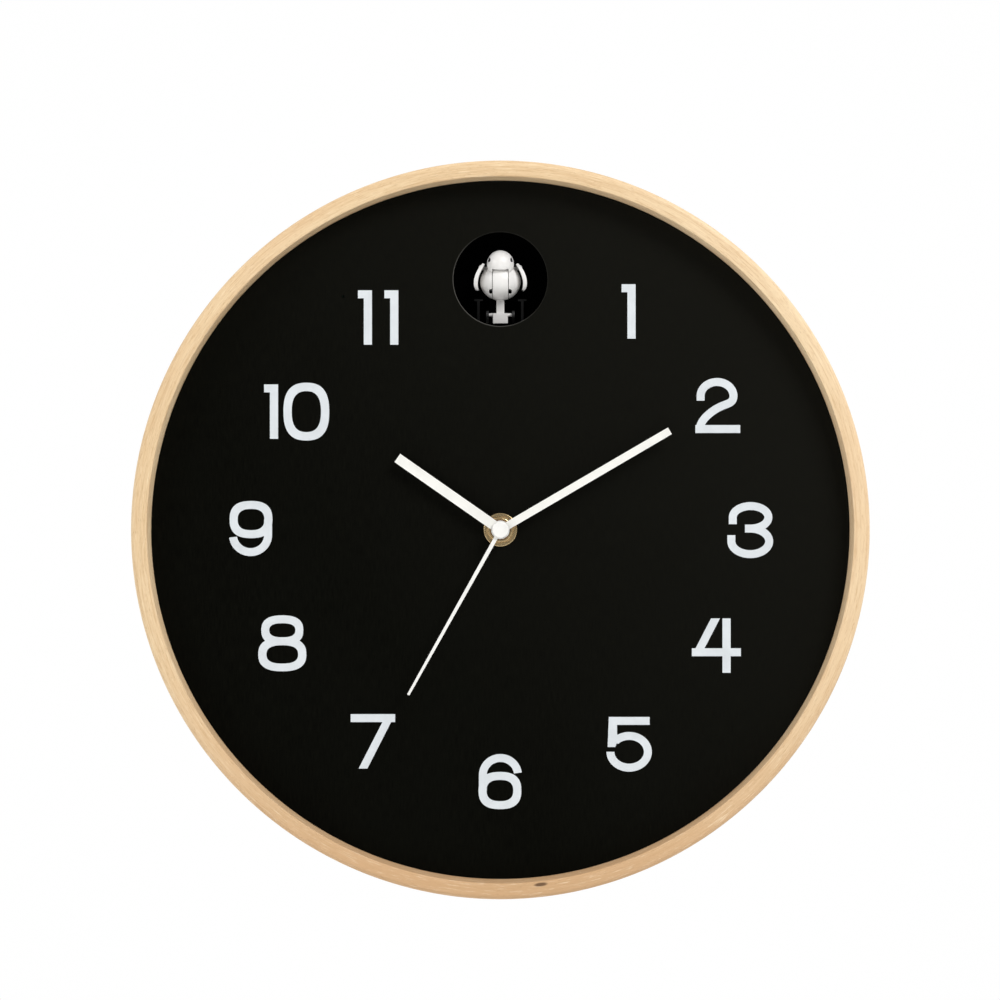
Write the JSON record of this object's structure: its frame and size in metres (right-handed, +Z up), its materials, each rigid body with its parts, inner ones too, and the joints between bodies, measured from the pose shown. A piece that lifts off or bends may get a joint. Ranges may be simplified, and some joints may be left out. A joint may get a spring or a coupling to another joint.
{
  "type": "wall clock",
  "caption": "Round quartz cuckoo wall clock: bentwood hoop, black dial with white numerals and hands, and a white bird that slides out of a round window.",
  "frame": {"origin": "on the arbor of the hands, in the wall plane that the back of the hoop rests on", "axes": "+Z up, the front faces -Y, +X to the right of someone reading the dial"},
  "size_m": [0.315, 0.045, 0.315],
  "materials": {
    "rim_hoop": "clear matt lacquer on bent beech",
    "dial_panel": "matt black fine linen texture",
    "dial_numerals": "printed white ink",
    "back_blocks": "raw beech",
    "back_panel": "brown hardboard",
    "panel_screws": "zinc plated",
    "hanger_plate": "zinc plated",
    "hanger_rivets": "bright",
    "movement_base": "black ABS",
    "movement_cover": "black ABS",
    "train_bridge": "natural acetal",
    "threaded_bush": "turned",
    "gasket_washer": "black",
    "dial_washer": "bright plated",
    "hand_nut": "bright plated",
    "coil_bobbin": "natural nylon",
    "coil_winding": "enamelled copper wire",
    "stator_plate": "soft iron",
    "movement_board": "green circuit board",
    "quartz_crystal": "nickel can",
    "rotor": "magnet in acetal",
    "intermediate_wheel": "white acetal",
    "seconds_wheel": "yellow acetal",
    "third_wheel": "white acetal",
    "centre_wheel": "blue acetal",
    "motion_wheel": "white acetal",
    "hour_wheel": "red acetal",
    "hour_hand": "satin white enamel",
    "minute_hand": "satin white enamel",
    "second_hand": "satin white enamel",
    "setting_knob": "black acetal",
    "movement_battery": "plain dark sleeve",
    "movement_contacts": "nickel plated spring steel",
    "mechanism_frame": "black ABS",
    "mechanism_cover": "black ABS",
    "mechanism_screws": "zinc plated",
    "guide_rods": "ground steel",
    "drive_motor": "drawn steel can",
    "motor_pinion": "turned",
    "reduction_gear": "white acetal",
    "drive_gear": "white acetal",
    "bird_carriage": "black acetal",
    "bird_foot": "white ABS",
    "bird_core": "white ABS",
    "bird_shell_left": "white ABS",
    "bird_shell_right": "white ABS",
    "bird_head": "white ABS",
    "bird_eyes": "black",
    "wing_left": "white ABS",
    "wing_right": "white ABS",
    "sound_board": "green circuit board",
    "speaker_basket": "zinc plated",
    "speaker_cone": "black paper",
    "battery_box": "black ABS",
    "box_batteries": "plain dark sleeve",
    "battery_door": "black ABS",
    "volume_slider": "grey",
    "demo_button": "red",
    "light_sensor": "green board with a clear sensor",
    "wires": "thin insulated wire"
  },
  "bodies": {
    "case": {"rim_hoop": "rim_hoop", "dial_panel": "dial_panel", "dial_numerals": "dial_numerals", "back_blocks": "back_blocks", "back_panel": "back_panel", "panel_screws": "panel_screws", "hanger_plate": "hanger_plate", "hanger_rivets": "hanger_rivets", "movement_base": "movement_base", "movement_cover": "movement_cover", "train_bridge": "train_bridge", "threaded_bush": "threaded_bush", "gasket_washer": "gasket_washer", "dial_washer": "dial_washer", "hand_nut": "hand_nut", "coil_bobbin": "coil_bobbin", "coil_winding": "coil_winding", "stator_plate": "stator_plate", "movement_board": "movement_board", "quartz_crystal": "quartz_crystal", "movement_battery": "movement_battery", "movement_contacts": "movement_contacts", "mechanism_frame": "mechanism_frame", "mechanism_cover": "mechanism_cover", "mechanism_screws": "mechanism_screws", "guide_rods": "guide_rods", "drive_motor": "drive_motor", "sound_board": "sound_board", "speaker_basket": "speaker_basket", "speaker_cone": "speaker_cone", "battery_box": "battery_box", "box_batteries": "box_batteries", "light_sensor": "light_sensor", "wires": "wires"},
    "hour": {"hour_wheel": "hour_wheel", "hour_hand": "hour_hand"},
    "minute": {"centre_wheel": "centre_wheel", "minute_hand": "minute_hand"},
    "second": {"seconds_wheel": "seconds_wheel", "second_hand": "second_hand"},
    "third": {"third_wheel": "third_wheel"},
    "intermediate": {"intermediate_wheel": "intermediate_wheel"},
    "rotor": {"rotor": "rotor"},
    "motion": {"motion_wheel": "motion_wheel"},
    "knob": {"setting_knob": "setting_knob"},
    "drive_gear": {"drive_gear": "drive_gear"},
    "reduction_gear": {"reduction_gear": "reduction_gear"},
    "motor_pinion": {"motor_pinion": "motor_pinion"},
    "carriage": {"bird_carriage": "bird_carriage"},
    "bird": {"bird_foot": "bird_foot", "bird_core": "bird_core", "bird_shell_left": "bird_shell_left", "bird_shell_right": "bird_shell_right", "bird_head": "bird_head", "bird_eyes": "bird_eyes"},
    "wing_left": {"wing_left": "wing_left"},
    "wing_right": {"wing_right": "wing_right"},
    "volume_slider": {"volume_slider": "volume_slider"},
    "demo_button": {"demo_button": "demo_button"},
    "battery_door": {"battery_door": "battery_door"}
  },
  "joints": [
    {"name": "minute_turn", "type": "hinge", "parent": "case", "child": "minute", "pos_m": [0, -0.036, 0], "axis": [0, 1, 0], "continuous": true},
    {"name": "hour_turn", "type": "hinge", "parent": "case", "child": "hour", "pos_m": [0, -0.033, 0], "axis": [0, 1, 0], "continuous": true},
    {"name": "second_turn", "type": "hinge", "parent": "case", "child": "second", "pos_m": [0, -0.03, 0], "axis": [0, 1, 0], "continuous": true},
    {"name": "third_turn", "type": "hinge", "parent": "case", "child": "third", "pos_m": [-0.00958, -0.02, -0.00349], "axis": [0, 1, 0], "continuous": true},
    {"name": "intermediate_turn", "type": "hinge", "parent": "case", "child": "intermediate", "pos_m": [0.01014, -0.02, 0.00272], "axis": [0, 1, 0], "continuous": true},
    {"name": "rotor_turn", "type": "hinge", "parent": "case", "child": "rotor", "pos_m": [0.01914, -0.02, 0.00272], "axis": [0, 1, 0], "continuous": true},
    {"name": "motion_turn", "type": "hinge", "parent": "case", "child": "motion", "pos_m": [-0.0054, -0.027, 0.00935], "axis": [0, 1, 0], "continuous": true},
    {"name": "knob_turn", "type": "hinge", "parent": "case", "child": "knob", "pos_m": [-0.01755, -0.02, 0.00935], "axis": [0, 1, 0], "continuous": true},
    {"name": "bird_slide", "type": "slide", "parent": "case", "child": "carriage", "axis": [0, -1, 0], "range_m": [0, 0.01]},
    {"name": "drive_gear_turn", "type": "hinge", "parent": "case", "child": "drive_gear", "pos_m": [-0.004, -0.019, 0.076], "axis": [1, 0, 0], "range_deg": [-1, 91]},
    {"name": "reduction_gear_turn", "type": "hinge", "parent": "case", "child": "reduction_gear", "pos_m": [-0.012, -0.019, 0.0675], "axis": [1, 0, 0], "range_deg": [-216, 1]},
    {"name": "motor_turn", "type": "hinge", "parent": "case", "child": "motor_pinion", "pos_m": [-0.012, -0.019, 0.056], "axis": [1, 0, 0], "range_deg": [-1, 775]},
    {"name": "bird_bow", "type": "hinge", "parent": "carriage", "child": "bird", "pos_m": [0, -0.022, 0.09255], "axis": [1, 0, 0], "range_deg": [0, 14], "stiffness_Nm_per_rad": 0.004, "springref_deg": -17.19},
    {"name": "wing_left_flap", "type": "hinge", "parent": "bird", "child": "wing_left", "pos_m": [-0.00835, -0.0242, 0.11285], "axis": [0, 1, 0], "range_deg": [0, 35]},
    {"name": "wing_right_flap", "type": "hinge", "parent": "bird", "child": "wing_right", "pos_m": [0.00835, -0.0242, 0.11285], "axis": [0, -1, 0], "range_deg": [0, 35]},
    {"name": "volume_slide", "type": "slide", "parent": "case", "child": "volume_slider", "axis": [1, 0, 0], "range_m": [0, 0.01]},
    {"name": "button_press", "type": "slide", "parent": "case", "child": "demo_button", "axis": [0, -1, 0], "range_m": [0, 0.001], "stiffness_N_per_m": 300, "springref_m": -0.001},
    {"name": "battery_door_swing", "type": "hinge", "parent": "case", "child": "battery_door", "pos_m": [-0.07, -0.0036, -0.0015], "axis": [1, 0, 0], "range_deg": [0, 90]}
  ],
  "couplings": [
    {"joint": "hour_turn", "follows": "minute_turn", "ratio": 0.083333},
    {"joint": "second_turn", "follows": "minute_turn", "ratio": 60},
    {"joint": "third_turn", "follows": "minute_turn", "ratio": -8},
    {"joint": "intermediate_turn", "follows": "minute_turn", "ratio": -360},
    {"joint": "rotor_turn", "follows": "minute_turn", "ratio": 1800},
    {"joint": "motion_turn", "follows": "minute_turn", "ratio": -0.33333},
    {"joint": "knob_turn", "follows": "minute_turn", "ratio": 0.66667},
    {"joint": "drive_gear_turn", "follows": "bird_slide", "rad_per_m": 156.25},
    {"joint": "reduction_gear_turn", "follows": "bird_slide", "rad_per_m": -375},
    {"joint": "motor_turn", "follows": "bird_slide", "rad_per_m": 1350},
    {"joint": "wing_left_flap", "follows": "bird_bow", "ratio": 2.5},
    {"joint": "wing_right_flap", "follows": "bird_bow", "ratio": 2.5}
  ]
}
